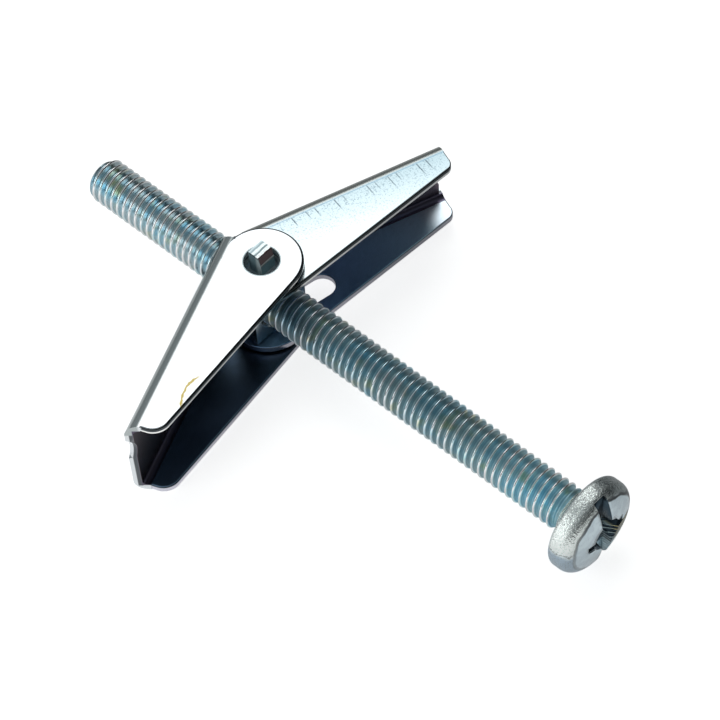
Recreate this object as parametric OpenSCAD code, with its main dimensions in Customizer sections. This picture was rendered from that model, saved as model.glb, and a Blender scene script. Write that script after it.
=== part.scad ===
// Spring toggle bolt: a machine screw carries a trunnion nut, and two
// folded sheet wings hinge on the nut's lugs, pushed open by a wire spring.
// Lies on its side: +X towards the screw head, +Y towards the inner wing,
// +Z up from the surface it rests on, origin under the middle of the box.
// All sizes are in millimetres.

/* [Screw] */
// outside diameter of the thread
thread_d = 3.93; // [2.5:0.01:8]
// thread pitch, which sets the end chamfer and the neck under the head
thread_pitch = 0.7; // [0.4:0.05:1.5]
// length from under the head to the end
screw_len = 52.2; // [35:1:120]
// screw left standing out behind the pivot axis
tail_len = 18.95; // [8:0.5:60]
// pan head diameter
head_d = 8.18; // [5:0.02:16]
// pan head height
head_h = 2.66; // [1.6:0.02:6]
// share of the height above the straight side that is rounded into the crown
head_round = 0.7; // [0.3:0.02:0.94]
// radius that rounds the head's side into its underside
head_under = 0.5; // [0.1:0.02:0.8]
// height at which the crown rounding starts
head_side = 1.08; // [0.3:0.02:2]
// width of the straight slot across the head
slot_w = 1.15; // [0.6:0.05:2]
// depth of the straight slot below the crown
slot_deep = 1.0; // [0.4:0.05:2]
// width of each arm of the cross recess
cross_w = 0.8; // [0.4:0.05:2]
// reach of each arm of the cross recess
cross_r = 2.35; // [1:0.05:4]
// radius of the funnel in the middle of the cross recess, at the crown
cross_mouth_r = 1.55; // [0.8:0.05:3]
// depth of the cross recess below the crown
cross_deep = 1.85; // [0.8:0.05:3.5]
// how far the slot and the cross sit off the head's centre
recess_off = 0.2; // [0:0.05:0.5]
// how far the flare under the head stands out past the thread
flare_over = 0.06; // [0.02:0.01:0.5]

/* [Sheet] */
// thickness of the wing sheet
sheet_t = 0.65; // [0.5:0.05:1.5]
// inside radius of the folds
fold_r = 0.5; // [0.2:0.05:1.5]
// gap between the outer wing's flanges and the inner wing's
nest_gap = 0.25; // [0.05:0.01:0.5]
// pivot hole diameter, through all four ears
pivot_hole_d = 3.0; // [2:0.05:6]
// radius of each rounded ear about the pivot
ear_r = 3.4; // [2.5:0.05:8]

/* [Outer wing] */
// outside width over the outer wing's two flanges
outer_w = 8.8; // [7.5:0.05:20]
// length from the pivot axis to the wing's tip
outer_len = 18.1; // [10:0.1:60]
// distance from the pivot axis to the outside of the back
outer_back = 4.19; // [3:0.02:10]
// angle between the back and the free edges
outer_taper = 14.75; // [8:0.1:20]
// angle between the open wing's back and the screw
outer_open = 68.2; // [55:0.1:88]
// where the back starts, measured from the pivot along the wing
outer_web_from = 1.6; // [1:0.1:8]
// how far the back's corner runs past the pivot
outer_heel = 1.5; // [0:0.05:3]
// how far the end of the back swells out past the flanges' ends
outer_swell = 0.42; // [0:0.02:1]
// height of the dip in the end of the back, above the screw's axis
outer_dip_z = 1.25; // [-1.5:0.05:1.5]

/* [Inner wing] */
// length from the pivot axis to the wing's tip
inner_len = 18.45; // [10:0.1:60]
// distance from the pivot axis to the outside of the back
inner_back = 4.62; // [3.5:0.02:12]
// angle between the back and the free edges
inner_taper = 15.8; // [8:0.1:20]
// angle between the open wing's back and the screw
inner_open = 69.9; // [55:0.1:88]
// where the back starts, measured from the pivot along the wing
inner_web_from = 1.1; // [0.5:0.1:8]
// how far the back's corner runs past the pivot
inner_heel = -0.3; // [-1.5:0.05:3]
// how far the end of the back is set back from the flanges' ends
inner_set = 0.3; // [0.05:0.05:1]
// strip left beside that set-back, outside the flange's inner face
inner_set_side = 0.3; // [0.2:0.05:1.5]
// height of the dip in the end of the back, above the screw's axis
inner_dip_z = 0; // [-1:0.05:1]
// width of the slot in the lower flange
flange_slot_w = 2.3; // [1:0.05:4]
// slot's first end centre, from the pivot along the wing
flange_slot_from = 3.75; // [2:0.05:8]
// distance between the slot's end centres
flange_slot_run = 1.45; // [0.5:0.05:8]
// slot's shift towards the back, at its first end centre
flange_slot_shift = 0.25; // [-1:0.02:1]
// slot's lean towards the back
flange_slot_lean = 9; // [-15:0.5:20]

/* [Wing tips] */
// radius of the flange corners at the outer wing's tip
outer_tip_r = 1.5; // [0.3:0.05:1.6]
// radius of the flange corners at the inner wing's tip
inner_tip_r = 0.95; // [0.3:0.05:1.6]
// depth of the shallow dip in the end of each back
tip_dip = 0.5; // [0.1:0.05:1.5]
// radius of that dip
tip_dip_r = 1.7; // [1:0.05:2]

/* [Nut] */
// nut thickness along the screw
nut_t = 3.2; // [2:0.1:8]
// nut height across the screw, between the wings
nut_w = 5.8; // [4.8:0.1:14]
// running gap of the screw in the nut
thread_gap = 0.05; // [0.02:0.01:0.2]
// gap between the nut's body and the inner wing's flanges
nut_gap = 0.12; // [0.05:0.01:0.4]
// lug size along the screw
lug_t = 1.3; // [0.6:0.05:3]
// lug size across the screw
lug_w = 1.55; // [0.8:0.05:3]
// how far the lugs sit off the bore's centre line, towards the tail
lug_off_x = 0.30; // [0:0.01:1]
// how far the lugs sit off the bore's centre line, towards the inner wing
lug_off_y = 0.30; // [0:0.01:1]
// how far the upper lug stands above the ear
lug_rise = 0.85; // [0:0.05:1.5]
// how far the lower lug stays inside the ear's face
lug_set = 0.05; // [0.02:0.01:0.5]
// height of the low ridge across each lug's end
lug_ridge = 0.08; // [0.05:0.01:0.6]
// how far each lug narrows on the head's side, where it was pressed
lug_lean = 0.26; // [0.05:0.01:0.4]
// height over which it narrows
lug_side = 1.0; // [0.5:0.05:1.2]

/* [Spring] */
// spring wire diameter
wire_d = 0.45; // [0.2:0.01:1]
// gap that keeps the wire clear of its neighbours
wire_gap = 0.05; // [0.02:0.01:0.3]
// inside bend radius of the wire
wire_bend = 0.45; // [0.2:0.05:2]
// where the wire presses on the inner wing, along the wing
inner_press = 8; // [4:0.1:30]
// where the wire presses on the outer wing, along the wing
outer_press = 7.4; // [4:0.1:30]

/* [Hidden] */
$fn = 96;
eps = 0.01;
weld = 0.006;                       // lets rounds cross the straight edges they run into

thread_r = thread_d / 2;
head_r = head_d / 2;
head_x = screw_len - tail_len;      // underside of the head
inner_w = outer_w - 2 * sheet_t - 2 * nest_gap;
nut_half = inner_w / 2 - sheet_t - nut_gap;
bore_r = thread_r + thread_gap;
flare_r = thread_r + flare_over;    // bearing face starts here, clear of the thread
set_half = inner_w / 2 - sheet_t - inner_set_side;
fold_out = fold_r + sheet_t;
axis_z = outer_w / 2;               // height of the screw and pivot centre

// crown arc that runs smoothly into the rounded side
round_r = head_round * (head_h - head_side);
crown_a = head_r - round_r;
crown_b = head_side - head_h;
crown_r = (pow(round_r, 2) - pow(crown_a, 2) - pow(crown_b, 2)) / (2 * (crown_b + round_r));
crown_meet = crown_a * crown_r / (crown_r - round_r);

// middle of the box, so that the origin lies under it
function reach_y(open, back, len) = len * sin(open) + back * cos(open);
mid_x = (head_x + head_h - tail_len) / 2;
mid_y = (reach_y(inner_open, inner_back, inner_len) - reach_y(outer_open, outer_back, outer_len + outer_swell)) / 2;

// everything below is drawn about the pivot axis and then moved once
module place() translate([-mid_x, -mid_y, axis_z]) children();

// ---- machine screw -------------------------------------------------------

// half section of the pan head, radius along x and height along y
module head_section() {
    square([head_r - head_under, head_side]);
    translate([0, head_under]) square([head_r, head_side - head_under]);
    translate([head_r - head_under, head_under]) circle(r = head_under);
    translate([crown_a, head_side]) intersection() {
        circle(r = round_r);
        square([round_r, round_r]);
    }
    intersection() {
        translate([0, head_h - crown_r]) circle(r = crown_r);
        square([crown_meet, head_h]);
    }
}

module cross_recess() {
    floor_r = cross_w * 0.55;
    funnel = (cross_mouth_r - floor_r) / cross_deep;
    intersection() {
        union() {
            translate([-cross_w / 2, -cross_r, 0]) cube([cross_w, 2 * cross_r, cross_deep + 1]);
            translate([-cross_r, -cross_w / 2, 0]) cube([2 * cross_r, cross_w, cross_deep + 1]);
        }
        cylinder(r1 = cross_w * 0.75, r2 = cross_r * 1.25 + 0.3, h = cross_deep + 1);
    }
    cylinder(r1 = floor_r, r2 = cross_mouth_r + funnel, h = cross_deep + 1);
}

module machine_screw() {
    tip_cut = 0.62 * thread_pitch;      // end chamfer
    neck_len = 1.1 * thread_pitch;      // plain neck where the thread runs out
    neck_r = thread_r - 0.45 * thread_pitch;
    color([0.62, 0.66, 0.70]) place() translate([-tail_len, 0, 0]) rotate([0, 90, 0]) difference() {
        union() {
            cylinder(r1 = thread_r - tip_cut, r2 = thread_r, h = tip_cut);
            translate([0, 0, tip_cut]) cylinder(r = thread_r, h = screw_len - tip_cut - neck_len);
            translate([0, 0, screw_len - neck_len]) cylinder(r = neck_r, h = neck_len);
            translate([0, 0, screw_len - (flare_r - neck_r)])
                cylinder(r1 = neck_r, r2 = flare_r, h = flare_r - neck_r);
            translate([0, 0, screw_len]) rotate_extrude() head_section();
        }
        // the slot runs upright when the bolt lies on its side
        translate([-head_r - 1, recess_off - slot_w / 2, screw_len + head_h - slot_deep])
            cube([head_d + 2, slot_w, slot_deep + 1]);
        translate([0, recess_off, screw_len + head_h - cross_deep]) cross_recess();
    }
}

// ---- trunnion nut --------------------------------------------------------

// a pressed lug: a rectangular stub that narrows on the head's side and
// ends in a low ridge
module lug(len) {
    translate([0, lug_w / 2, 0]) rotate([90, 0, 0]) linear_extrude(height = lug_w)
        polygon([
            [-lug_t / 2, -eps], [lug_t / 2, -eps], [lug_t / 2, len - lug_side],
            [lug_t / 2 - lug_lean, len - lug_ridge], [-lug_t * 0.06, len], [-lug_t / 2, len - lug_ridge * 0.35]
        ]);
}

module trunnion_nut() {
    color([0.58, 0.62, 0.66]) place() difference() {
        union() {
            translate([-nut_t / 2, -nut_w / 2, -nut_half]) cube([nut_t, nut_w, 2 * nut_half]);
            translate([-lug_off_x, lug_off_y, nut_half]) lug(outer_w / 2 + lug_rise - nut_half);
            translate([-lug_off_x, lug_off_y, -nut_half]) mirror([0, 0, 1]) lug(outer_w / 2 - lug_set - nut_half);
        }
        translate([-nut_t / 2 - 1, 0, 0]) rotate([0, 90, 0]) cylinder(r = bore_r, h = nut_t + 2);
        // lead-in cones at both mouths of the thread
        translate([-nut_t / 2 - eps, 0, 0]) rotate([0, 90, 0])
            cylinder(r1 = bore_r + 0.25, r2 = bore_r, h = 0.25 + eps);
        translate([nut_t / 2 - 0.25, 0, 0]) rotate([0, 90, 0])
            cylinder(r1 = bore_r, r2 = bore_r + 0.25, h = 0.25 + eps);
    }
}

// ---- wings ---------------------------------------------------------------
// A wing is drawn with its pivot at the origin, +Y along the wing and +X
// towards the free edges, and then turned to its open angle.

// x of the free edge at a distance y along the wing
function free_x(taper, y) = (ear_r - y * sin(taper)) / cos(taper);

// solid of the given height with the outline of one flange: a round ear, a
// straight back that may swell at its end, and a free edge that tapers to a
// rounded corner at the tip
module flange_block(back, len, taper, heel, tip_r, swell, height) {
    corner_y = len - tip_r;
    corner_x = free_x(taper, corner_y) - tip_r / cos(taper);
    translate([0, 0, -height / 2]) {
        cylinder(r = ear_r + weld, h = height);
        translate([corner_x, corner_y, 0]) cylinder(r = tip_r + weld, h = height);
        linear_extrude(height = height) polygon([
            [-back - 1, -heel], [-back - 1, len + swell], [-back, len + swell],
            [-back + fold_out, len], [corner_x, len],
            [corner_x + tip_r * cos(taper), corner_y + tip_r * sin(taper)],
            [ear_r * cos(taper), ear_r * sin(taper)],
            [0, 0],
            [-ear_r * cos(asin(heel / ear_r)), -heel]
        ]);
    }
}

// rectangle from (from_x, -w/2) to (to_x, w/2), rounded on its from_x side
module round_backed(from_x, to_x, w, r) {
    translate([from_x + r, -w / 2]) square([to_x - from_x - r, w]);
    translate([from_x, -w / 2 + r]) square([to_x - from_x, w - 2 * r]);
    for (s = [-1, 1]) translate([from_x + r, s * (w / 2 - r)]) circle(r = r);
}

// channel section across the wing: two flanges, a back and round folds
module channel_section(back, width, far_x) {
    difference() {
        round_backed(-back, far_x, width, fold_out);
        round_backed(-back + sheet_t, far_x + 1, width - 2 * sheet_t, fold_r);
    }
}

module wing(back, width, len, taper, heel, web_from, tip_r, swell, dip_end, dip_z) {
    inside = width / 2 - sheet_t;
    difference() {
        intersection() {
            // the folded channel, run along the wing
            translate([0, len + 1, 0]) rotate([90, 0, 0])
                linear_extrude(height = len + ear_r + 2) channel_section(back, width, ear_r + 1);
            flange_block(back, len, taper, heel, tip_r, swell, width + 1);
        }
        translate([0, 0, -width / 2 - 1]) cylinder(d = pivot_hole_d, h = width + 2);
        // the back is cut away round the nut, the screw and the other ears
        translate([-back - 1, -ear_r - 2, -inside]) cube([back + 1, ear_r + 2 + web_from, 2 * inside]);
        // shallow dip in the end of the back
        translate([-back - 1, dip_end - tip_dip + tip_dip_r, dip_z]) rotate([0, 90, 0])
            cylinder(r = tip_dip_r, h = sheet_t + 1.4);
    }
}

module outer_wing() {
    color([0.72, 0.78, 0.82]) place() mirror([0, 1, 0]) rotate([0, 0, outer_open - 90])
        wing(outer_back, outer_w, outer_len, outer_taper, outer_heel, outer_web_from, outer_tip_r,
             outer_swell, outer_len + outer_swell, outer_dip_z);
}

module inner_wing() {
    color([0.66, 0.74, 0.80]) place() rotate([0, 0, inner_open - 90]) difference() {
        wing(inner_back, inner_w, inner_len, inner_taper, inner_heel, inner_web_from, inner_tip_r,
             0, inner_len - inner_set, inner_dip_z);
        // the end of the back is set back between the flanges
        translate([-inner_back - 1, inner_len - inner_set, -set_half])
            cube([sheet_t + 1.4, inner_set + 1, 2 * set_half]);
        // slot in the lower flange
        translate([-flange_slot_shift, flange_slot_from, -inner_w / 2 - 1]) rotate([0, 0, flange_slot_lean]) {
            cylinder(d = flange_slot_w, h = sheet_t + 1.5);
            translate([-flange_slot_w / 2, 0, 0]) cube([flange_slot_w, flange_slot_run, sheet_t + 1.5]);
            translate([0, flange_slot_run, 0]) cylinder(d = flange_slot_w, h = sheet_t + 1.5);
        }
    }
}

// ---- bow spring ----------------------------------------------------------
// One wire crosses in front of the nut beside the screw, and its two legs
// run back to press the wings open.

wire_r = wire_d / 2;
inner_in = inner_w / 2 - sheet_t;                     // inner face of the inner wing's flange
outer_in = outer_w / 2 - sheet_t;
wire_z = (thread_r + inner_in) / 2;                   // midway between thread and flange
wire_x = nut_t / 2 + wire_gap + wire_r;               // bears on the nut
bend_r = wire_bend + wire_r;
bend_y = nut_w / 2;                                   // bends round the nut's corners

// room the wire's axis leaves to a back's inner face, more where the wire
// lies beside the round of the fold
function fold_over(half) = max(0, wire_z - (half - fold_r));
function wire_room(half) = max(wire_gap + wire_r,
    fold_r - sqrt(max(0, pow(fold_r - wire_gap - wire_r, 2) - pow(fold_over(half), 2))));
// point where a leg presses: just in front of the back's inner face
function press_x(back, half, along, open) =
    (-back + sheet_t + wire_room(half)) * cos(open - 90) - along * sin(open - 90);
function press_y(back, half, along, open) =
    (-back + sheet_t + wire_room(half)) * sin(open - 90) + along * cos(open - 90);

module wire_leg(px, py) {
    vx = px - (wire_x - bend_r);
    vy = py - bend_y;
    far = sqrt(vx * vx + vy * vy);
    turn = atan2(vy, vx) - acos(bend_r / far);
    run = sqrt(far * far - bend_r * bend_r);
    translate([wire_x - bend_r, bend_y, 0]) {
        rotate_extrude(angle = turn) translate([bend_r, 0]) circle(r = wire_r);
        translate([bend_r, 0, 0]) sphere(r = wire_r + weld);
        rotate([0, 0, turn]) translate([bend_r, 0, 0]) rotate([-90, 0, 0]) {
            sphere(r = wire_r + weld);
            cylinder(r = wire_r, h = run);
            translate([0, 0, run]) sphere(r = wire_r);
        }
    }
}

module bow_spring() {
    color([0.50, 0.52, 0.54]) place() translate([0, 0, wire_z]) {
        translate([wire_x, -bend_y, 0]) rotate([-90, 0, 0]) cylinder(r = wire_r, h = 2 * bend_y);
        wire_leg(press_x(inner_back, inner_in, inner_press, inner_open),
                 press_y(inner_back, inner_in, inner_press, inner_open));
        mirror([0, 1, 0])
            wire_leg(press_x(outer_back, outer_in, outer_press, outer_open),
                     press_y(outer_back, outer_in, outer_press, outer_open));
    }
}

machine_screw();
trunnion_nut();
outer_wing();
inner_wing();
bow_spring();
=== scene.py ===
import bpy, bmesh, math
from mathutils import Matrix, Vector


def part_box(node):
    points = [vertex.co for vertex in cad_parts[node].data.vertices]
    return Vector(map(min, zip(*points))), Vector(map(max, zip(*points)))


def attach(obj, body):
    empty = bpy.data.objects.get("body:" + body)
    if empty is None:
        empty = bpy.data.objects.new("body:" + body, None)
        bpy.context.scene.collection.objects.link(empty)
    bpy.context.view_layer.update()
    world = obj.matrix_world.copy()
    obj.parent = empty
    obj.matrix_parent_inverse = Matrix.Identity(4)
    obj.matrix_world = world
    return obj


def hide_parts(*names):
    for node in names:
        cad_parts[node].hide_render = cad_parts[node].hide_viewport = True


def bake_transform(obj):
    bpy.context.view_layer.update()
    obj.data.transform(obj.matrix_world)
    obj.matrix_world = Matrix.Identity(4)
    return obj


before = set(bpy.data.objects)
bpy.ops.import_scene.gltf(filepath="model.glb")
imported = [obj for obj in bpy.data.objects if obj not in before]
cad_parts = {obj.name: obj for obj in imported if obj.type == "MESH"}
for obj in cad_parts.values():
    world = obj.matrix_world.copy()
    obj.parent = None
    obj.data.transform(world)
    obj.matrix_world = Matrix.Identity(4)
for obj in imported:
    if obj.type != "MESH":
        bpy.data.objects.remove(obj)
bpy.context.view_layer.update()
MM = 0.001
PER_METRE = 1000  # millimetres in a metre

# ---------------------------------------------------------------------------
# Sizes and places in metres, for the meshes
# ---------------------------------------------------------------------------
screw_lo, screw_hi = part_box("machine_screw")
AXIS_Y = (screw_lo.y + screw_hi.y) / 2
AXIS_Z = (screw_lo.z + screw_hi.z) / 2
END_X = screw_lo.x
TAIL_LEN = 18.95 * MM             # screw's free end to the wings' pivot
SCREW_LEN = 52.2 * MM             # screw's free end to the foot of its head
PIVOT = Vector((END_X + TAIL_LEN, AXIS_Y, AXIS_Z))
HEAD_X = END_X + SCREW_LEN

PITCH = 0.7 * MM
THREAD_R = 1.965 * MM             # over the crests
THREAD_DEPTH = 0.58 * PITCH
THREAD_WELD = 0.01 * PITCH        # joins one wound turn to the next
END_R = THREAD_R - 0.62 * PITCH   # the chamfered free end
NECK_R = THREAD_R - 0.45 * PITCH
NECK_X = HEAD_X - 1.1 * PITCH     # where the thread ends under the head
NECK_FADE = 1.3 * PITCH           # over which the thread runs out
NECK_LAP = 0.02 * MM              # of the head piece over the thread piece
RECESS_OFF = 0.2 * MM             # driver recess, beside the screw's axis

FOLD_OUT = 1.15 * MM              # outside radius of a wing's folds
STRIP = FOLD_OUT + 0.12 * MM      # width taken up by a fold
EASE = 0.18 * MM                  # rounding of the sheared edges
PIVOT_CLEAR = 1.7 * MM            # edges nearer the axis are the pivot hole's
SLACK = 0.02 * MM                 # for points that lie on a cut

CLOSE = 1e-7                      # points nearer than this are one
CORNER = math.radians(40)         # a steeper fold counts as an edge
FLAT = math.radians(0.5)          # a shallower one is left out

# ---------------------------------------------------------------------------
# Sizes in plain millimetres, for the finishes and the spring
# ---------------------------------------------------------------------------
THREAD_TOP = THREAD_R / MM
HEAD_H = 2.66
CROWN_R = 10.73    # the ball that the crown is part of
CREASE_R = 3.45    # round the crown's flats
SLOT_W = 1.15
SHEET = 0.65
EAR_R = 3.4
HOLE_R = 1.5       # pivot holes

# a leg of the spring, along the screw from the pivot and out from it
# rings cut round each leg, by distance from the spring's middle
RING_START, RING_STEP, RINGS = 2.2, 0.3, 17

# rolled thread: share of a pitch along the screw, share of the depth
THREAD_PROFILE = ((0.00, 0.00), (0.07, 0.02), (0.14, 0.13), (0.25, 0.44), (0.36, 0.79),
                  (0.42, 0.94), (0.50, 1.00), (0.58, 0.94), (0.64, 0.79), (0.75, 0.44),
                  (0.86, 0.13), (0.93, 0.02), (1.00, 0.00))

# tool marks beside the inner wing's fold: place along the wing, length, and
# how dark
TOOL_MARKS = ((4.4, 1.2, 1.0), (5.7, 1.0, 0.8), (6.5, 1.1, 0.9), (8.3, 1.5, 1.0),
              (9.1, 0.9, 0.7), (11.3, 1.5, 0.9), (12.05, 1.1, 0.7), (13.25, 1.6, 0.9),
              (14.0, 1.0, 0.8), (15.95, 1.6, 1.0), (16.8, 1.3, 1.0))


def wing_frame(open_deg, side, back, width, taper, heel, strip):
    """A wing's directions along and across its channel; how far its back
    lies from the pivot, half its width, the taper of its free edges in
    degrees, where its heel ends, and the colour of the painted shade on the strip by its fold."""
    a = math.radians(open_deg)
    return {"along": Vector((math.cos(a), side * math.sin(a), 0)),
            "across": Vector((math.sin(a), -side * math.cos(a), 0)),
            "back": back, "half": width / 2, "taper": taper, "heel": heel, "strip": strip}


OUTER_WING = wing_frame(open_deg=68.2, side=-1, back=4.19, width=8.8, taper=14.75, heel=1.5,
                        strip=(0.43, 0.47, 0.47))
INNER_WING = wing_frame(open_deg=69.9, side=1, back=4.62, width=7.0, taper=15.8, heel=-0.3,
                        strip=(0.44, 0.46, 0.44))


# ---------------------------------------------------------------------------
# Small mesh helpers
# ---------------------------------------------------------------------------
def piece(name, bm, body, material, smooth_deg=None):
    """Turns a finished bmesh into a piece that rides on a body, if one is
    given. Edges marked crisp in the bmesh stay so unless an angle is given."""
    mesh = bpy.data.meshes.new(name)
    bm.to_mesh(mesh)
    bm.free()
    obj = bpy.data.objects.new(name, mesh)
    bpy.context.scene.collection.objects.link(obj)
    mesh.materials.append(material)
    mesh.shade_smooth()
    if smooth_deg is not None:
        mesh.set_sharp_from_angle(angle=math.radians(smooth_deg))
    if body:
        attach(obj, body)
    return obj


def copy_of_node(name):
    """A welded bmesh of a CAD node, for cutting and dressing."""
    bm = bmesh.new()
    bm.from_mesh(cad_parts[name].data)
    bmesh.ops.remove_doubles(bm, verts=bm.verts, dist=CLOSE)
    return bm


def all_of(bm):
    """Everything in a bmesh, for operators that take it as one list."""
    return bm.verts[:] + bm.edges[:] + bm.faces[:]


def cut(bm, at, facing, **keep):
    """Cuts a bmesh along a plane; facing points to the plane's outer side."""
    bmesh.ops.bisect_plane(bm, geom=all_of(bm), dist=CLOSE, plane_co=at, plane_no=facing, **keep)


def close_ends(bm):
    """Caps every opening."""
    bmesh.ops.holes_fill(bm, edges=[e for e in bm.edges if e.is_boundary], sides=0)


# ---------------------------------------------------------------------------
# Screw: rolled thread on the shank, head kept from the turned blank
# ---------------------------------------------------------------------------
def rolled_thread():
    """One pitch of the rolled profile, wound along the shank, cut square at
    the end and faded into the neck under the head."""
    bm = bmesh.new()
    root = THREAD_R - THREAD_DEPTH
    start = END_X - 1.6 * PITCH
    wound, steps = 5, 56  # turns wound at first, and steps in each turn
    row = [bm.verts.new((start + along * PITCH, AXIS_Y, AXIS_Z + root + height * THREAD_DEPTH))
           for along, height in THREAD_PROFILE]
    edges = [bm.edges.new(pair) for pair in zip(row, row[1:])]
    bmesh.ops.spin(bm, geom=row + edges, cent=(0, AXIS_Y, AXIS_Z), axis=(1, 0, 0),
                   dvec=(PITCH / steps, 0, 0), angle=math.tau * wound, steps=steps * wound)
    while start + wound * PITCH < NECK_X + PITCH:
        copy = bmesh.ops.duplicate(bm, geom=all_of(bm))
        verts = [g for g in copy["geom"] if isinstance(g, bmesh.types.BMVert)]
        bmesh.ops.translate(bm, verts=verts, vec=(wound * PITCH, 0, 0))
        wound *= 2
    bmesh.ops.remove_doubles(bm, verts=bm.verts, dist=THREAD_WELD)
    for where, side in ((END_X, -1), (NECK_X, 1)):
        cut(bm, (where, AXIS_Y, AXIS_Z), (side, 0, 0), clear_outer=True)
    for v in bm.verts:
        arm = Vector((0, v.co.y - AXIS_Y, v.co.z - AXIS_Z))
        r = arm.length
        want = min(r, END_R + (v.co.x - END_X))
        near_head = (v.co.x - (NECK_X - NECK_FADE)) / NECK_FADE
        if near_head > 0:
            want = want + (NECK_R - want) * min(1, near_head) ** 1.5
        if r > 1e-9 and abs(want - r) > 1e-9:
            v.co.y = AXIS_Y + arm.y / r * want
            v.co.z = AXIS_Z + arm.z / r * want
    close_ends(bm)
    bmesh.ops.recalc_face_normals(bm, faces=bm.faces)
    return bm


def screw_head():
    """The head and its neck, cut from the CAD screw a little down the neck,
    so that the two pieces overlap."""
    bm = copy_of_node("machine_screw")
    cut(bm, (NECK_X - NECK_LAP, 0, 0), (-1, 0, 0), clear_outer=True)
    close_ends(bm)
    return bm


# ---------------------------------------------------------------------------
# Wings and spring, dressed copies of their CAD nodes
# ---------------------------------------------------------------------------
def eased_sheet(name, wing):
    """A wing with the sheared edges of its sheet rounded. A narrow strip is
    cut off each flat beside its fold, so that only the strip takes up the
    fold's curve and the flats stay true."""
    bm = copy_of_node(name)
    bmesh.ops.dissolve_limit(bm, angle_limit=FLAT, verts=bm.verts, edges=bm.edges)
    across, back, half = wing["across"], wing["back"] * MM, wing["half"] * MM
    upward = Vector((0, 0, 1))
    cut(bm, PIVOT - across * (back - STRIP), across)
    cut(bm, PIVOT + upward * (half - STRIP), upward)
    cut(bm, PIVOT - upward * (half - STRIP), upward)

    def on_flange(v):
        away = v.co - PIVOT
        away.z = 0
        past_fold = away.dot(across) > -back + STRIP - SLACK
        return past_fold and away.length > PIVOT_CLEAR

    sheared = [e for e in bm.edges if len(e.link_faces) == 2 and e.calc_face_angle(0) > CORNER
               and all(on_flange(v) for v in e.verts)]
    eased = bmesh.ops.bevel(bm, geom=sheared, offset=EASE, offset_type="OFFSET", segments=3,
                            profile=0.5, affect="EDGES", clamp_overlap=True, material=-1)
    rounds = set(eased["faces"])
    for e in bm.edges:
        if len(e.link_faces) == 2:
            a, b = e.link_faces
            if (a in rounds) != (b in rounds) or e.calc_face_angle(0) > CORNER:
                e.smooth = False
    return bm


def spring_leg(side):
    """Half of the bow spring, ringed closely enough to bend."""
    bm = copy_of_node("bow_spring")
    middle = Vector((0, AXIS_Y, 0))
    outward = Vector((0, side, 0))
    cut(bm, middle, outward, clear_inner=True)
    close_ends(bm)
    for n in range(1, RINGS + 1):
        cut(bm, middle + outward * (RING_START + RING_STEP * n) * MM, outward)
    bmesh.ops.recalc_face_normals(bm, faces=bm.faces)
    return bm


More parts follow.
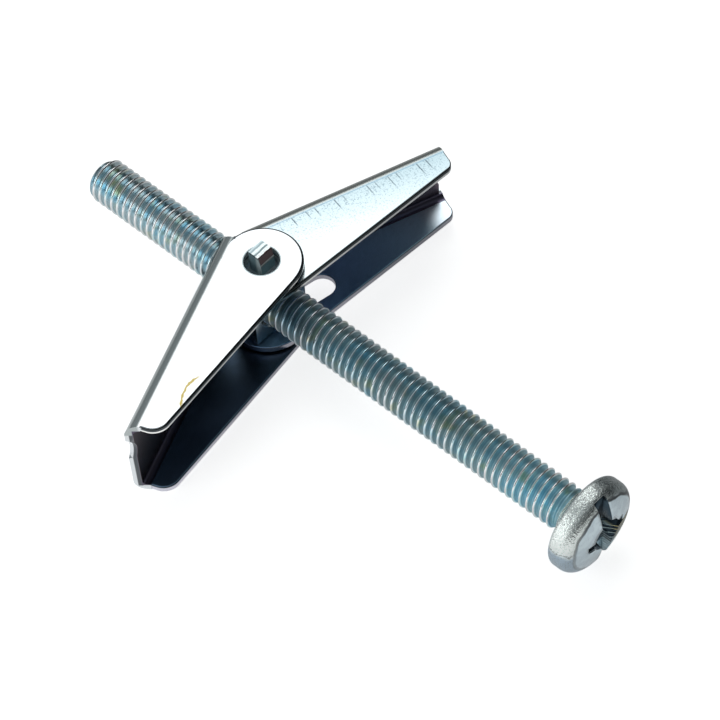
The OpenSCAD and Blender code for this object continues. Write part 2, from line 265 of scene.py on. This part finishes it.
# ---------------------------------------------------------------------------
# Shorthand for materials
# ---------------------------------------------------------------------------
class Wiring:
    """Places nodes and wires them; every call gives back an output socket."""

    def __init__(self, tree):
        self.nodes, self.links = tree.nodes, tree.links

    def put(self, socket, value):
        if isinstance(value, bpy.types.NodeSocket):
            self.links.new(value, socket)
        elif isinstance(value, tuple) and len(value) == 3 and socket.type == "RGBA":
            socket.default_value = (*value, 1)
        else:
            socket.default_value = value

    def maths(self, op, *values, clamp=False):
        m = self.nodes.new("ShaderNodeMath")
        m.operation, m.use_clamp = op, clamp
        for socket, value in zip(m.inputs, values):
            self.put(socket, value)
        return m.outputs[0]

    def plus(self, a, b, clamp=False):
        return self.maths("ADD", a, b, clamp=clamp)

    def less(self, a, b):
        return self.maths("SUBTRACT", a, b)

    def times(self, a, b, clamp=False):
        return self.maths("MULTIPLY", a, b, clamp=clamp)

    def unsigned(self, a):
        return self.maths("ABSOLUTE", a)

    def long_side(self, a, b):
        """The long side of a right-angled triangle with sides a and b."""
        return self.maths("SQRT", self.plus(self.times(a, a), self.times(b, b)))

    def rest(self, mask):
        """What a mask leaves."""
        return self.less(1.0, mask)

    def where_all(self, *masks):
        out = masks[0]
        for m in masks[1:]:
            out = self.times(out, m)
        return out

    def where_any(self, *masks):
        out = masks[0]
        for m in masks[1:]:
            out = self.maths("MAXIMUM", out, m)
        return out

    def span(self, value, lo, hi, soft=True, to=(0.0, 1.0)):
        """A ramp from to[0] at lo to to[1] at hi, level beyond both."""
        m = self.nodes.new("ShaderNodeMapRange")
        m.interpolation_type = "SMOOTHSTEP" if soft else "LINEAR"
        for key, x in (("Value", value), ("From Min", lo), ("From Max", hi),
                       ("To Min", to[0]), ("To Max", to[1])):
            self.put(m.inputs[key], x)
        return m.outputs["Result"]

    def band(self, value, at, half, soft):
        """1 within half of at, falling to 0 over soft."""
        return self.span(self.unsigned(self.less(value, at)), half + soft, half)

    def blend(self, mask, a, b, way="MIX"):
        m = self.nodes.new("ShaderNodeMix")
        m.data_type, m.blend_type = "RGBA", way
        self.put(m.inputs[0], mask)
        self.put(m.inputs[6], a)
        self.put(m.inputs[7], b)
        return m.outputs[2]

    def object_point(self):
        return self.nodes.new("ShaderNodeTexCoord").outputs["Object"]

    def noise(self, point, scale, detail=2.0, rough=0.5, warp=0.0):
        t = self.nodes.new("ShaderNodeTexNoise")
        for key, x in (("Vector", point), ("Scale", scale), ("Detail", detail),
                       ("Roughness", rough), ("Distortion", warp)):
            self.put(t.inputs[key], x)
        return t.outputs["Fac"]

    def waver(self, value, point, scale, by, detail=2.0, rough=0.5):
        """The value, pushed up or down by as much as by."""
        push = self.noise(point, scale, detail, rough)
        return self.plus(value, self.span(push, 0.3, 0.7, False, (-by, by)))

    def cells(self, point, scale):
        t = self.nodes.new("ShaderNodeTexVoronoi")
        self.put(t.inputs["Vector"], point)
        self.put(t.inputs["Scale"], scale)
        return t.outputs["Distance"]

    def vector(self, op, a, b=(0, 0, 0), out="Value"):
        m = self.nodes.new("ShaderNodeVectorMath")
        m.operation = op
        self.put(m.inputs[0], a)
        m.inputs[1].default_value = b
        return m.outputs[out]

    def reach(self, point, start, direction):
        """How far the point lies from start along direction, in millimetres."""
        away = self.vector("SUBTRACT", point, start, "Vector")
        return self.vector("DOT_PRODUCT", away, Vector(direction) * PER_METRE)


class Finish(Wiring):
    """The wiring of one plated piece, with what its look has come to so far."""

    def __init__(self, tree, coat):
        super().__init__(tree)
        self.color = coat.outputs["Color"]
        self.roughness = coat.outputs["Roughness"]
        self.height = coat.outputs["Height"]
        self.metallic = 1.0

    def paint(self, mask, color):
        """Covers the mask with a colour."""
        self.color = self.blend(mask, self.color, color)

    def wash(self, mask, color):
        """Lets a colour darken or brighten what is under it."""
        self.color = self.blend(mask, self.color, color, "MULTIPLY")

    def roughen(self, mask, by):
        self.roughness = self.plus(self.roughness, self.times(mask, by))

    def lift(self, mask, by):
        self.height = self.plus(self.height, self.times(mask, by))

    def sink(self, mask, by):
        self.height = self.less(self.height, self.times(mask, by))


# ---------------------------------------------------------------------------
# The plating that every piece shares
# ---------------------------------------------------------------------------
COAT_INPUTS = (("NodeSocketColor", "Plate", (0.62, 0.67, 0.71, 1)),
               ("NodeSocketColor", "Cool Tint", (0.42, 0.58, 0.68, 1)),
               ("NodeSocketColor", "Straw Tint", (0.66, 0.66, 0.52, 1)),
               ("NodeSocketFloat", "Tint Size", 350.0), ("NodeSocketFloat", "Tint Amount", 0.4),
               ("NodeSocketFloat", "Roughness", 0.2), ("NodeSocketFloat", "Grain", 0.3),
               ("NodeSocketFloat", "Pits", 0.3))
COAT_OUTPUTS = (("NodeSocketColor", "Color"), ("NodeSocketFloat", "Roughness"),
                ("NodeSocketFloat", "Height"))


def zinc_plate_group():
    """Electroplated zinc: fine grain, drifting blue and straw tints, small pits."""
    group = bpy.data.node_groups.new("zinc_plate", "ShaderNodeTree")
    for kind, name, value in COAT_INPUTS:
        socket = group.interface.new_socket(name=name, in_out="INPUT", socket_type=kind)
        socket.default_value = value
    for kind, name in COAT_OUTPUTS:
        group.interface.new_socket(name=name, in_out="OUTPUT", socket_type=kind)
    s = Wiring(group)
    given = s.nodes.new("NodeGroupInput").outputs
    result = s.nodes.new("NodeGroupOutput").inputs
    at = s.object_point()
    drift = s.noise(at, given["Tint Size"], 3.0, 0.55, 0.6)
    cool = s.times(s.span(drift, 0.42, 0.66, False), given["Tint Amount"], clamp=True)
    tint = s.blend(cool, given["Plate"], given["Cool Tint"])
    patches = s.noise(at, s.times(given["Tint Size"], 1.7), 2.0, 0.5, 0.3)
    straw = s.times(s.span(patches, 0.55, 0.75, False), given["Tint Amount"], clamp=True)
    tint = s.blend(straw, tint, given["Straw Tint"])
    pitted = s.span(s.noise(at, 2600.0, 2.0, 0.6), 0.56, 0.66)
    pit = s.where_all(s.span(s.cells(at, 5200.0), 0.22, 0.08), pitted, given["Pits"])
    s.put(result["Color"], s.blend(pit, tint, (0.35, 0.40, 0.43), "MULTIPLY"))
    grain = s.times(s.less(s.noise(at, 9000.0, 3.0, 0.7), 0.5), given["Grain"])
    rough = s.plus(given["Roughness"], s.times(grain, 0.5))
    s.put(result["Roughness"], s.plus(rough, s.times(pit, 0.25), clamp=True))
    s.put(result["Height"], s.less(grain, s.times(pit, 1.2)))
    return group


ZINC = zinc_plate_group()


def plated(name, bump, dress=None, bump_depth=0.02, **coat_values):
    """A plated metal. dress(finish, point) may change the look; the bump's
    depth is in millimetres."""
    m = bpy.data.materials.new(name)
    m.use_nodes = True
    metal = m.node_tree.nodes["Principled BSDF"].inputs
    coat = m.node_tree.nodes.new("ShaderNodeGroup")
    coat.node_tree = ZINC
    s = Finish(m.node_tree, coat)
    for key, value in coat_values.items():
        s.put(coat.inputs[key.replace("_", " ").title()], value)
    if dress:
        dress(s, s.object_point())
    s.put(metal["Base Color"], s.color)
    s.put(metal["Roughness"], s.roughness)
    s.put(metal["Metallic"], s.metallic)
    relief = s.nodes.new("ShaderNodeBump")
    relief.inputs["Strength"].default_value = bump
    relief.inputs["Distance"].default_value = bump_depth * MM
    s.put(relief.inputs["Height"], s.height)
    s.put(metal["Normal"], relief.outputs["Normal"])
    return m


# ---------------------------------------------------------------------------
# What each piece wears over the plating
# ---------------------------------------------------------------------------
def dress_thread(s, point):
    """Crests painted lighter as a painted highlight over matt blue grooves painted darker as
    shade;
    painted light at the free end and under the head, and painted shade between the ears of the
    wings."""
    x = s.reach(point, PIVOT, (1, 0, 0))
    # painted light: the thread lighter towards its free end
    tail_painted_light = s.span(x, 2.0, -12.0)
    s.wash(tail_painted_light, (1.26, 1.22, 1.20))
    s.roughen(tail_painted_light, 0.045)
    # painted shade on the thread between the ears of the wings
    ears_painted_shade = s.where_all(s.span(x, 9.5, 4.0), s.span(x, -1.0, 3.0), 0.45)
    s.wash(ears_painted_shade, (0.46, 0.42, 0.44))
    high = s.reach(point, PIVOT, (0, 0, 1))
    side = s.reach(point, PIVOT, (0, 1, 0))
    arm = s.long_side(high, side)
    # grooves rougher (matt) and painted darker as shade; crests painted lighter as a painted
    # highlight
    groove = s.span(arm, THREAD_TOP - 0.05, THREAD_TOP - 0.13)
    matt_and_shade = s.where_all(groove, s.span(x, -5.0, 1.0, to=(0.2, 1.0)))
    s.roughen(matt_and_shade, 0.32)
    s.wash(matt_and_shade, (0.74, 0.82, 0.82))
    s.wash(s.rest(groove), (1.55, 1.46, 1.44))
    # painted shadow: a thin dark line on each flank below the crest
    shoulder_shadow_line = s.where_all(s.band(arm, THREAD_TOP - 0.19, 0.02, 0.05), 0.5)
    s.wash(shoulder_shadow_line, (0.50, 0.56, 0.58))
    # painted shade in the roots of the thread
    root = s.where_all(s.span(arm, THREAD_TOP - 0.08, THREAD_TOP - 0.38), 0.5)
    s.wash(root, (0.45, 0.62, 0.68))
    # painted light: the thread lighter towards the head
    under_head_painted_light = s.span(x, 20.0, 30.0)
    s.wash(under_head_painted_light, (1.28, 1.42, 1.46))


def dress_head(s, point):
    """Hammered side with painted light and painted shade, smooth crown flats, and a driver
    recess painted dark as shade.
    """
    x = s.reach(point, Vector((HEAD_X, AXIS_Y, AXIS_Z)), (1, 0, 0))
    y = s.reach(point, Vector((HEAD_X, AXIS_Y + RECESS_OFF, AXIS_Z)), (0, 1, 0))
    z = s.reach(point, Vector((HEAD_X, AXIS_Y, AXIS_Z)), (0, 0, 1))
    r = s.long_side(y, z)
    from_crown_middle = s.long_side(r, s.less(x, HEAD_H - CROWN_R))
    funnel = s.where_all(s.span(from_crown_middle, CROWN_R - 0.06, CROWN_R - 0.12),
                         s.span(r, 3.15, 3.0), s.span(x, 0.4, 0.5))
    slot = s.where_all(s.span(s.unsigned(y), SLOT_W / 2 + 0.03, SLOT_W / 2 + 0.01),
                       s.span(x, HEAD_H - 1.08, HEAD_H - 1.04))
    recess = s.where_any(funnel, slot)
    crown = s.where_all(s.span(x, 1.2, 1.5), s.rest(recess))
    beside_crown = s.span(r, CREASE_R - 0.05, CREASE_R + 0.12)
    flats = s.where_all(s.rest(beside_crown), crown)
    rough_side = s.where_all(s.rest(flats), s.rest(recess))

    # crown flats: pale blue-grey, clouded
    clouds = s.span(s.noise(point, 1500.0, 3.0), 0.4, 0.65)
    s.paint(flats, s.blend(clouds, (0.68, 0.79, 0.85), (0.77, 0.89, 0.94)))

    # side: painted light and shade by degrees round the screw: a painted highlight over the top
    # and front, painted shade on the far side, and blue-grey painted shade underneath
    round_deg = s.maths("DEGREES", s.maths("ARCTAN2", s.times(y, -1.0), z))
    wander = s.waver(round_deg, point, 700.0, 6.0)
    painted_shade_band = s.where_all(s.span(wander, -4.0, -22.0), s.span(wander, -140.0, -110.0))
    s.paint(rough_side, s.blend(painted_shade_band, (0.94, 1.0, 0.97), (0.32, 0.36, 0.36)))
    painted_shading = s.where_all(rough_side, s.span(wander, 74.0, 86.0))
    s.paint(painted_shading, (0.48, 0.59, 0.68))

    # painted shade: a thin dark line in the crease round the flats, fainter on one side
    crease_shade = s.where_all(s.band(s.waver(r, point, 900.0, 0.1), CREASE_R, 0.06, 0.13), crown,
                         s.span(wander, 95.0, 20.0, to=(0.45, 1.0)))
    s.paint(crease_shade, (0.07, 0.08, 0.085))

    # side again: one dark seam, dark specks, hammer dents
    seam = s.where_all(rough_side, s.band(wander, 78.0, 0.2, 1.2),
                       s.span(s.noise(point, 5000.0, 1.0), 0.42, 0.5), 0.7)
    s.paint(seam, (0.16, 0.18, 0.18))
    specks = s.where_all(rough_side, s.span(s.noise(point, 9500.0, 2.0, 0.7), 0.54, 0.66), 0.7)
    s.paint(specks, (0.22, 0.26, 0.25))
    small_dents = s.times(s.noise(point, 13000.0, 2.0, 0.6), 0.45)
    dents = s.plus(s.noise(point, 5200.0, 2.0, 0.6), small_dents)
    s.lift(s.where_all(dents, rough_side), 2.6)

    # recess: painted near black as shade, with ribs struck in its lower wall and painted glints
    # on the lit ribs
    ribs = s.maths("SINE", s.plus(s.times(y, 4.0), s.times(z, 21.0)))
    ribbed = s.where_all(s.span(y, 0.30, 0.42), s.span(z, -0.25, -0.4),
                         s.span(r, 3.2, 3.0), s.span(x, 0.4, 0.5))
    recess = s.where_any(recess, ribbed)
    s.lift(s.where_all(ribs, ribbed), 2.0)
    s.paint(recess, (0.055, 0.085, 0.11))
    exit_facet = s.where_all(recess, s.span(z, -1.7, -2.0))
    s.paint(exit_facet, (0.45, 0.62, 0.70))
    lit_rib = s.where_all(ribbed, s.span(ribs, 0.2, 0.9))
    s.paint(lit_rib, s.blend(s.span(y, 0.9, 1.3), (0.36, 0.46, 0.48), (0.62, 0.56, 0.30)))
    s.roughen(recess, 0.05)


def wing_place(s, point, wing):
    """Place in a wing, in mm: along it, across it from its back, and height;
    and the mask of its channel's inside."""
    along = s.reach(point, PIVOT, wing["along"])
    across = s.reach(point, PIVOT - wing["across"] * (wing["back"] * MM), wing["across"])
    high = s.reach(point, PIVOT, (0, 0, 1))
    wall = wing["half"] - SHEET
    inside = s.where_all(s.span(s.unsigned(high), wall + 0.06, wall + 0.02),
                         s.span(across, SHEET - 0.08, SHEET - 0.03))
    return along, across, high, inside


def sheared_edges(s, place, wing):
    """Cut edges of a wing: on the upper flange painted shade over the upper part of the edge and
    a pale painted highlight under it; on the lower flange painted shade along the top of the
    edge over a pale cut."""
    along, across, high, inside = place
    half = wing["half"]
    past_pivot = s.less(across, wing["back"])
    arm = s.long_side(past_pivot, along)
    off_fold = s.span(across, 0.5, 0.7)

    # painted shade: the upper part of the flange's cut edges, and thin borders on its top along
    # the free edge, round the ear and at the heel
    flange = s.span(across, 1.25, 1.45)
    top = s.span(high, half - 0.34, half - 0.30)
    below_top_face = s.span(high, half - 0.006, half - 0.03)
    taper = math.radians(wing["taper"])
    edge = s.plus(s.times(past_pivot, math.cos(taper)), s.times(along, math.sin(taper)))
    free = s.where_all(s.span(edge, EAR_R - 0.18, EAR_R - 0.14), s.span(along, 0.7, 0.9))
    ear_rim = s.where_all(s.span(arm, EAR_R - 0.21, EAR_R - 0.17),
                          s.span(along, 0.95, 0.75), off_fold)
    heel = s.where_all(s.span(along, 0.22 - wing["heel"], 0.15 - wing["heel"]),
                       s.span(across, 1.4, 1.3), off_fold)
    dark = s.where_any(s.where_all(s.where_any(below_top_face, free), top, flange),
                       s.where_all(s.where_any(ear_rim, heel), top))
    s.paint(dark, (0.065, 0.075, 0.08))

    # painted highlight: a pale band on the cut edge, just under the painted shade
    edge_painted_highlight = s.where_all(s.span(high, half - 0.32, half - 0.36),
                         s.span(high, half - 0.66, half - 0.62), flange)
    s.paint(edge_painted_highlight, (1.0, 1.0, 0.97))

    # lower flange: painted shade along the top of its cut edge, above a pale cut
    lower_flange = s.span(across, 1.2, 1.4)
    lower_edge_shade = s.where_all(s.span(high, -half + 0.72, -half + 0.66), lower_flange)
    s.paint(lower_edge_shade, (0.09, 0.12, 0.16))
    lower = s.where_all(s.span(high, -half + 0.58, -half + 0.52), lower_flange)
    s.paint(lower, (0.66, 0.65, 0.72))

    # ends of the web, the pivot hole's wall, and painted shade on the strip by the fold
    web_end = s.where_all(s.span(across, 0.28, 0.36), s.span(across, 0.72, 0.64),
                          s.span(s.unsigned(high), half - 0.5, half - 0.62))
    s.paint(web_end, (0.10, 0.11, 0.12))
    hole = s.where_all(s.span(arm, HOLE_R + 0.12, HOLE_R + 0.06), s.span(high, 0.5, 1.0))
    s.paint(hole, (0.62, 0.72, 0.74))
    s.metallic = s.rest(s.times(hole, 0.7))
    strip = s.where_all(s.span(across, 1.2, 0.95), s.rest(inside),
                        s.span(high, half - 1.3, half - 1.1))
    s.paint(strip, wing["strip"])


def dress_inside(s, place, wing, web_shade_color, fold_shade_color):
    """The channel's inside: rougher, with painted shade, darker on its web and darkest in its
    folds.
    """
    along, across, high, inside = place
    from_middle, half = s.unsigned(high), wing["half"]
    s.roughen(inside, 0.12)
    web = s.where_all(inside, s.span(across, 1.2, 0.8),
                      s.span(from_middle, half - 0.95, half - 1.2))
    s.paint(web, web_shade_color)
    fold = s.where_all(inside, s.span(across, 1.35, 1.2),
                       s.span(from_middle, half - 1.25, half - 1.1))
    s.paint(fold, fold_shade_color)


def dress_outer(s, point):
    """Bright outside, inside painted near black as shade, a straw stain near one free edge."""
    place = wing_place(s, point, OUTER_WING)
    along, across, high, inside = place
    half = OUTER_WING["half"]
    sheared_edges(s, place, OUTER_WING)
    # painted shade: the channel's inside near black, darkest near the pivot
    s.paint(inside, s.blend(s.span(along, 4.0, 10.0), (0.13, 0.19, 0.27), (0.21, 0.31, 0.43)))
    dress_inside(s, place, OUTER_WING, (0.14, 0.12, 0.13), (0.10, 0.085, 0.12))

    # stain: a thin bowed line with a frayed edge
    x = s.reach(point, PIVOT + Vector((4.25, 0, 0)) * MM, (1, 0, 0))
    t = s.reach(point, PIVOT + Vector((0, -11.24, 0)) * MM, (0, -1, 0))
    bow = s.plus(x, s.times(t, s.less(0.4274, s.times(t, 0.2164))))
    frayed = s.waver(bow, point, 2600.0, 0.08, 3.0, 0.7)
    stain = s.where_all(s.band(frayed, 0.0, 0.05, 0.12), s.span(t, -0.1, 0.6),
                        s.span(t, 3.3, 3.1), s.span(high, half - 0.2, half - 0.1))
    s.paint(stain, (0.36, 0.29, 0.10))


def dress_inner(s, point):
    """Pale cyan outside with dark specks and pairs of tool marks beside the fold, and a painted
    shade line along the fold's edge; steel blue inside, painted lighter towards the tip with a
    painted glare at its end."""
    place = wing_place(s, point, INNER_WING)
    along, across, high, inside = place
    half = INNER_WING["half"]
    top = s.span(high, half - 0.03, half - 0.01)
    by_fold = s.span(across, 5.2, 1.2, False)
    by_tip = s.span(along, 2.0, 17.0, False)
    deeper = s.plus(s.times(by_fold, 0.65), s.times(by_tip, 0.35), clamp=True)
    tint = s.blend(deeper, (0.72, 0.80, 0.82), (0.36, 0.47, 0.51))
    specks = s.where_all(s.span(s.noise(point, 7000.0, 2.0, 0.75), 0.53, 0.64),
                         s.plus(s.times(by_fold, 0.75), 0.12))
    tint = s.blend(specks, tint, (0.20, 0.27, 0.31))
    slanted = s.less(along, s.times(across, 0.12))
    marks = s.where_any(*[
        s.where_all(s.band(slanted, at - 0.25, 0.01, 0.06), s.span(across, 1.20, 1.35),
                    s.span(across, 1.3 + run, 1.2 + run * 0.5), dark)
        for at, run, dark in TOOL_MARKS])
    tint = s.blend(s.times(marks, 0.85), tint, (0.10, 0.14, 0.17))
    # painted shade: a dark line where the flange meets its fold
    crease_shade = s.band(across, 1.22, 0.03, 0.06)
    tint = s.blend(s.times(crease_shade, 0.55), tint, (0.16, 0.27, 0.36))
    s.paint(top, tint)
    sheared_edges(s, place, INNER_WING)
    s.sink(s.where_all(marks, top), 3.0)
    # painted light and shade inside: steel blue, lighter towards the tip, with a painted glare
    # at its end
    inside_light_and_shade = s.blend(s.span(along, 3.0, 15.0, False), (0.38, 0.60, 0.86), (0.62, 0.88, 1.0))
    inside_light_and_shade = s.blend(s.span(along, 15.2, 16.8), inside_light_and_shade, (0.80, 0.92, 1.0))
    s.paint(inside, inside_light_and_shade)
    dress_inside(s, place, INNER_WING, (0.26, 0.21, 0.26), (0.12, 0.11, 0.16))


def dress_nut(s, point):
    """Sheared lugs: drawn bands along the top with painted highlights among them, a brown rolled
    side with a painted highlight line.
    """
    lug_corner = PIVOT + Vector((-0.30, 0.30, 0)) * MM
    x = s.reach(point, lug_corner, (1, 0, 0))
    y = s.reach(point, lug_corner, (0, 1, 0))
    high = s.reach(point, PIVOT, (0, 0, 1))
    lug = s.span(high, 3.0, 3.1)
    top = s.span(high, 5.04, 5.10)

    # top: where each drawn band starts, where it is full, and its tone; the palest tone and the
    # thin white band below are painted highlights
    drawn = s.waver(x, point, 1800.0, 0.04)
    tone = (0.40, 0.48, 0.50)
    for start, full, band_tone in ((-0.55, -0.42, (0.22, 0.28, 0.30)),
                                   (-0.36, -0.26, (0.56, 0.64, 0.64)),
                                   (-0.06, 0.0, (0.20, 0.26, 0.28)),
                                   (0.08, 0.14, (0.80, 0.86, 0.86)),
                                   (0.36, 0.42, (0.22, 0.14, 0.14))):
        tone = s.blend(s.span(drawn, start, full), tone, band_tone)
    tone = s.blend(s.band(drawn, 0.60, 0.02, 0.04), tone, (0.95, 0.95, 0.92))

    # sides: brown with one painted highlight line near the top; one end painted from shade to
    # light
    painted_highlight_line = s.band(high, 4.32, 0.05, 0.05)
    brown = s.blend(painted_highlight_line, (0.34, 0.22, 0.22), (0.95, 0.95, 0.92))
    side = s.blend(s.span(high, 4.15, 4.25), (0.26, 0.42, 0.46), brown)
    painted_shading = s.blend(s.span(x, 0.0, 0.36), (0.22, 0.33, 0.36), (0.62, 0.72, 0.72))
    side = s.blend(s.span(y, -0.70, -0.75), side, painted_shading)
    s.paint(lug, s.blend(top, side, tone))
    s.metallic = s.rest(s.where_all(s.span(high, 1.5, 1.8), s.rest(top), 0.85))


THREAD = plated("plated_thread", 0.45, dress_thread, plate=(0.58, 0.66, 0.69),
                cool_tint=(0.38, 0.62, 0.74), straw_tint=(0.62, 0.65, 0.47),
                tint_size=420.0, tint_amount=0.9, roughness=0.14, grain=0.6, pits=0.5)
HEAD = plated("plated_head", 0.8, dress_head, bump_depth=0.03, plate=(0.52, 0.58, 0.58),
              cool_tint=(0.46, 0.57, 0.62), straw_tint=(0.56, 0.58, 0.50),
              tint_size=300.0, tint_amount=0.5, roughness=0.13, grain=0.5, pits=0.8)
OUTER = plated("plated_outer_sheet", 0.12, dress_outer, plate=(0.74, 0.77, 0.79),
               cool_tint=(0.66, 0.72, 0.76), straw_tint=(0.72, 0.72, 0.66),
               tint_size=120.0, tint_amount=0.35, roughness=0.2, grain=0.3, pits=0.15)
INNER = plated("plated_inner_sheet", 0.2, dress_inner, plate=(0.66, 0.74, 0.78),
               cool_tint=(0.52, 0.64, 0.72), straw_tint=(0.66, 0.70, 0.66),
               tint_size=160.0, tint_amount=0.45, roughness=0.2, grain=0.5, pits=0.7)
NUT = plated("sheared_nut", 0.4, dress_nut, plate=(0.60, 0.66, 0.68),
             cool_tint=(0.42, 0.52, 0.58), straw_tint=(0.55, 0.46, 0.44),
             tint_size=500.0, tint_amount=0.6, roughness=0.2, grain=0.6, pits=0.6)
WIRE = plated("spring_wire", 0.3, plate=(0.80, 0.77, 0.84),
              cool_tint=(0.66, 0.66, 0.76), straw_tint=(0.70, 0.66, 0.62),
              tint_size=500.0, tint_amount=0.4, roughness=0.3, grain=0.5, pits=0.2)


# ---------------------------------------------------------------------------
# Pieces
# ---------------------------------------------------------------------------
shank = piece("screw_thread", rolled_thread(), "screw", THREAD, smooth_deg=60)
head = piece("screw_head", screw_head(), "screw", HEAD, smooth_deg=30)
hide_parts("machine_screw")
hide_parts("machine_screw")

for node, shape, mat, slot in (("outer_wing", OUTER_WING, OUTER, "plated_sheet_outer"),
                               ("inner_wing", INNER_WING, INNER, "plated_sheet_inner")):
    wing = piece(node + "_sheet", eased_sheet(node, shape), node, mat)
    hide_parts(node)

# the spring in two ringed legs, one on each side
for node, name, side in (("outer_wing", "bow_spring_outer_leg", -1),
                         ("inner_wing", "bow_spring_inner_leg", 1)):
    leg = piece(name, spring_leg(side), None, WIRE, smooth_deg=40)
    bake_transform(leg)
    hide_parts("bow_spring")

# the nut keeps its CAD shape and only changes its finish
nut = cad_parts["trunnion_nut"]
for slot in nut.material_slots:
    slot.material = NUT
if not nut.material_slots:
    nut.data.materials.append(NUT)


# ---------------------------------------------------------------------------
# Floor, lights and camera
# ---------------------------------------------------------------------------
FLOOR_R, FLOOR_RIM = 1.2, 0.05            # metres
LAMP_AWAY = 0.5                           # metres from the pivot
ROOM_BRIGHT_WAY = Vector((-0.62, -0.42, 0.66)).normalized()
LENS, SENSOR = 143.48, 36.0               # millimetres
CAMERA_AT = (107.39, -92.69, 186.13)      # millimetres from the pivot
CAMERA_RIGHT = Vector((0.7373, 0.6738, -0.0486))
CAMERA_BACK = Vector((0.4228, -0.4042, 0.8111))


def studio_floor_material():
    """Pale floor: white as seen, with a soft shadow, grey where metal mirrors it."""
    m = bpy.data.materials.new("studio_white")
    m.use_nodes = True
    s = Wiring(m.node_tree)
    floor_paint = s.nodes["Principled BSDF"].inputs
    floor_paint["Roughness"].default_value = 0.9
    floor_paint["Specular IOR Level"].default_value = 0.0
    floor_paint["Emission Color"].default_value = (1, 1, 1, 1)
    point = s.object_point()
    greys = s.blend(s.noise(point, 4.0), (0.80, 0.80, 0.80), (0.79, 0.79, 0.79))
    s.put(floor_paint["Base Color"], greys)

    # glow: as seen, whiter towards the far rim; as mirrored, by the side
    y = s.vector("DOT_PRODUCT", point, (0, 1, 0))
    far_side = s.span(y, 4 * MM, 12 * MM, False, (0.28, 0.08))
    near_side = s.span(y, -8 * MM, -18 * MM, False, (0.0, 0.35))
    seen = s.span(s.vector("LENGTH", point), 0.25, 0.9, False, (0.80, 1.0))
    ray = s.nodes.new("ShaderNodeLightPath").outputs
    mirrored = s.times(ray["Is Glossy Ray"], s.plus(far_side, near_side))
    glow = s.plus(s.times(ray["Is Camera Ray"], seen),
                  s.times(s.rest(ray["Is Camera Ray"]), mirrored))
    s.put(floor_paint["Emission Strength"], glow)
    return m


def studio_floor():
    """A wide disc with a low raised rim."""
    bm = bmesh.new()
    bmesh.ops.create_circle(bm, cap_ends=True, segments=96, radius=FLOOR_R)
    raised = bmesh.ops.extrude_edge_only(bm, edges=[e for e in bm.edges if e.is_boundary])
    verts = [v for v in raised["geom"] if isinstance(v, bmesh.types.BMVert)]
    bmesh.ops.translate(bm, verts=verts, vec=(0, 0, FLOOR_RIM))
    mesh = bpy.data.meshes.new("studio_floor")
    bm.to_mesh(mesh)
    bm.free()
    mesh.materials.append(studio_floor_material())
    obj = bpy.data.objects.new("studio_floor", mesh)
    bpy.context.scene.collection.objects.link(obj)
    return obj


def softbox(name, toward, width, glow):
    """A round soft lamp; glow is how bright its face looks."""
    data = bpy.data.lights.new(name, "AREA")
    data.shape = "ELLIPSE"
    data.size = data.size_y = width
    data.energy = glow * math.pi * math.pi / 4 * width * width
    obj = bpy.data.objects.new(name, data)
    bpy.context.scene.collection.objects.link(obj)
    way = Vector(toward).normalized()
    obj.location = PIVOT + way * LAMP_AWAY
    obj.rotation_mode = "QUATERNION"
    obj.rotation_quaternion = (-way).to_track_quat("-Z", "Y")


def studio_room():
    """Soft grey light that is brighter from one way; white as seen."""
    world = bpy.data.worlds.new("studio_room")
    bpy.context.scene.world = world
    world.use_nodes = True
    s = Wiring(world.node_tree)
    room = s.nodes["Background"]
    way = s.nodes.new("ShaderNodeTexCoord").outputs["Generated"]
    lean = s.vector("DOT_PRODUCT", way, ROOM_BRIGHT_WAY)
    s.put(room.inputs["Strength"], s.span(lean, -0.2, 0.95, to=(0.045, 0.38)))
    room.inputs["Color"].default_value = (0.93, 1.0, 1.03, 1)
    white = s.nodes.new("ShaderNodeBackground")
    white.inputs["Color"].default_value = (1, 1, 1, 1)
    pick = s.nodes.new("ShaderNodeMixShader")
    s.put(pick.inputs["Fac"], s.nodes.new("ShaderNodeLightPath").outputs["Is Camera Ray"])
    s.put(pick.inputs[1], room.outputs["Background"])
    s.put(pick.inputs[2], white.outputs["Background"])
    s.put(s.nodes["World Output"].inputs["Surface"], pick.outputs["Shader"])


def studio_camera():
    """A long lens that looks down on the pivot from one side."""
    data = bpy.data.cameras.new("camera")
    data.lens, data.sensor_width = LENS, SENSOR
    data.clip_start, data.clip_end = 0.01, 10
    obj = bpy.data.objects.new("camera", data)
    bpy.context.scene.collection.objects.link(obj)
    right, back = CAMERA_RIGHT.normalized(), CAMERA_BACK.normalized()
    up = back.cross(right).normalized()
    right = up.cross(back).normalized()
    turn = Matrix((right, up, back)).transposed().to_4x4()
    obj.matrix_world = Matrix.Translation(PIVOT + Vector(CAMERA_AT) * MM) @ turn
    bpy.context.scene.camera = obj


studio_floor()
softbox("key_softbox", (-0.423, 0.46, 0.781), width=0.32, glow=1.5)
softbox("left_softbox", (-0.42, -0.81, 0.40), width=0.30, glow=1.9)
studio_room()
studio_camera()
bpy.context.scene.view_settings.view_transform = "Standard"
